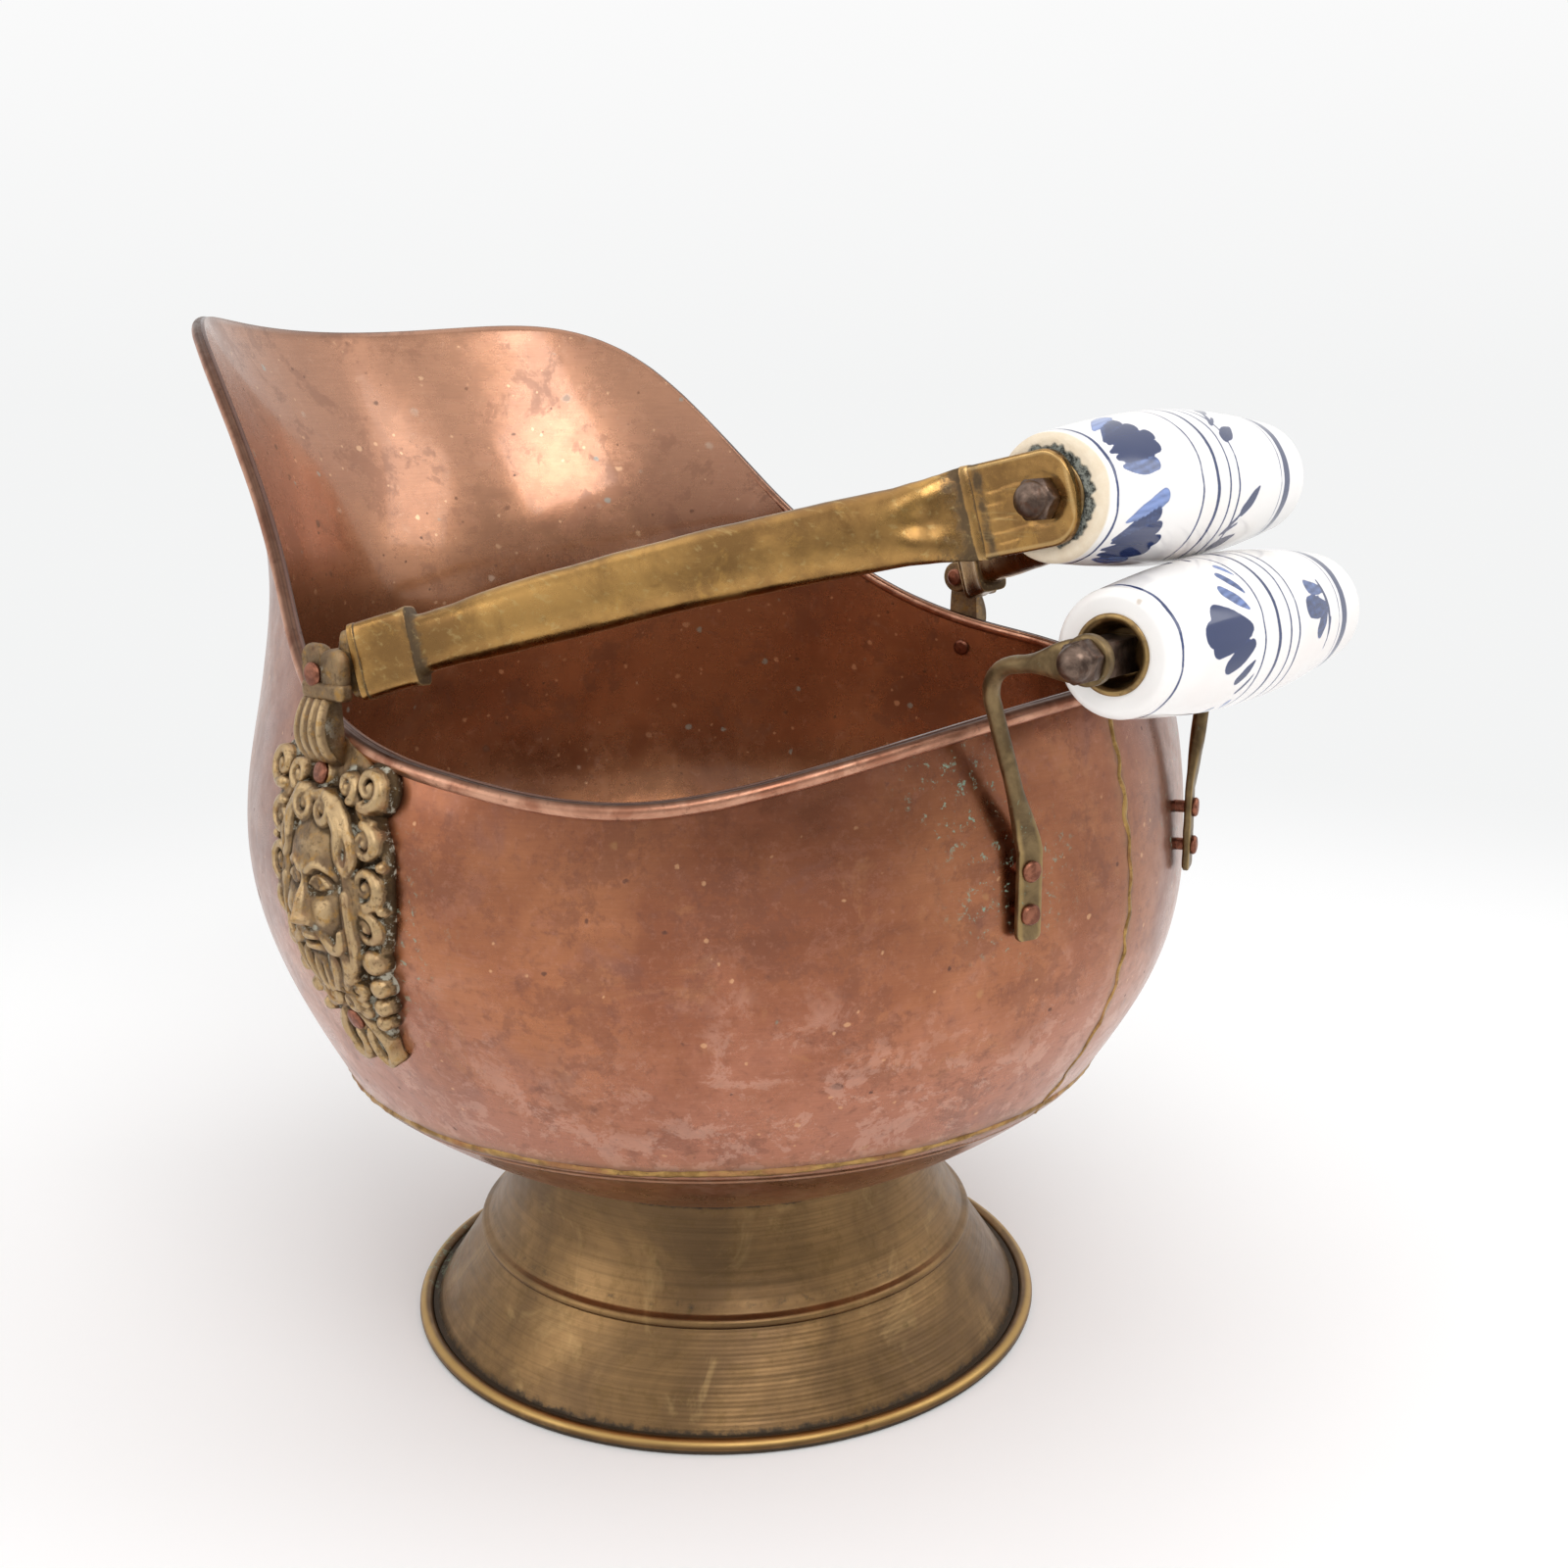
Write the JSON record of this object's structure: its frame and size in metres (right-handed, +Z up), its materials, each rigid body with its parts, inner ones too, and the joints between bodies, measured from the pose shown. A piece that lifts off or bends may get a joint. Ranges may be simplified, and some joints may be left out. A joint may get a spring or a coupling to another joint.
{
  "type": "coal scuttle",
  "caption": "Helmet coal scuttle: copper bowl with spout on a spun brass foot, swinging bail and fixed rear handle with blue-and-white ceramic grips, bearded mask lugs.",
  "frame": {"origin": "centre of the foot, on the floor", "axes": "+Z up; -Y to the spout, +Y to the fixed rear handle; X along the bail's hinge axis"},
  "size_m": [0.3344, 0.4072, 0.3426],
  "materials": {
    "copper_sheet": "aged copper, satin, mottled",
    "copper_rim": "aged copper, worn bright",
    "copper_rivet": "aged copper",
    "foot_brass": "spun brass, tarnished",
    "cast_brass": "cast brass, dark patina",
    "arm_brass": "pressed brass, tarnished",
    "bracket_brass": "drawn brass rod, tarnished",
    "cup_brass": "spun brass, tarnished",
    "aged_steel": "steel, browned",
    "glazed_grip": "white glaze with blue brush pattern"
  },
  "bodies": {
    "scuttle": {"foot_shell": "foot_brass", "foot_rim": "foot_brass", "bowl_dish": "copper_sheet", "body_wall": "copper_sheet", "rim_bead": "copper_rim", "mask_left": "cast_brass", "mask_right": "cast_brass", "mask_rivets": "copper_rivet", "hinge_rivets": "copper_rivet", "bracket_left": "bracket_brass", "bracket_right": "bracket_brass", "bracket_rivets": "copper_rivet", "rear_grip": "glazed_grip", "rear_grip_cups": "cup_brass", "rear_grip_blocks": "aged_steel", "rear_rod": "aged_steel", "rear_cap_nuts": "aged_steel"},
    "bail": {"bail_arm_left": "arm_brass", "bail_arm_right": "arm_brass", "bail_knuckle_left": "cast_brass", "bail_knuckle_right": "cast_brass", "bail_grip": "glazed_grip", "bail_grip_cups": "cup_brass", "bail_rod": "aged_steel", "bail_cap_nuts": "aged_steel"}
  },
  "joints": [
    {"name": "bail_swing", "type": "hinge", "parent": "scuttle", "child": "bail", "pos_m": [0, -0.0045, 0.2425], "axis": [1, 0, 0], "range_deg": [0, 100]}
  ]
}
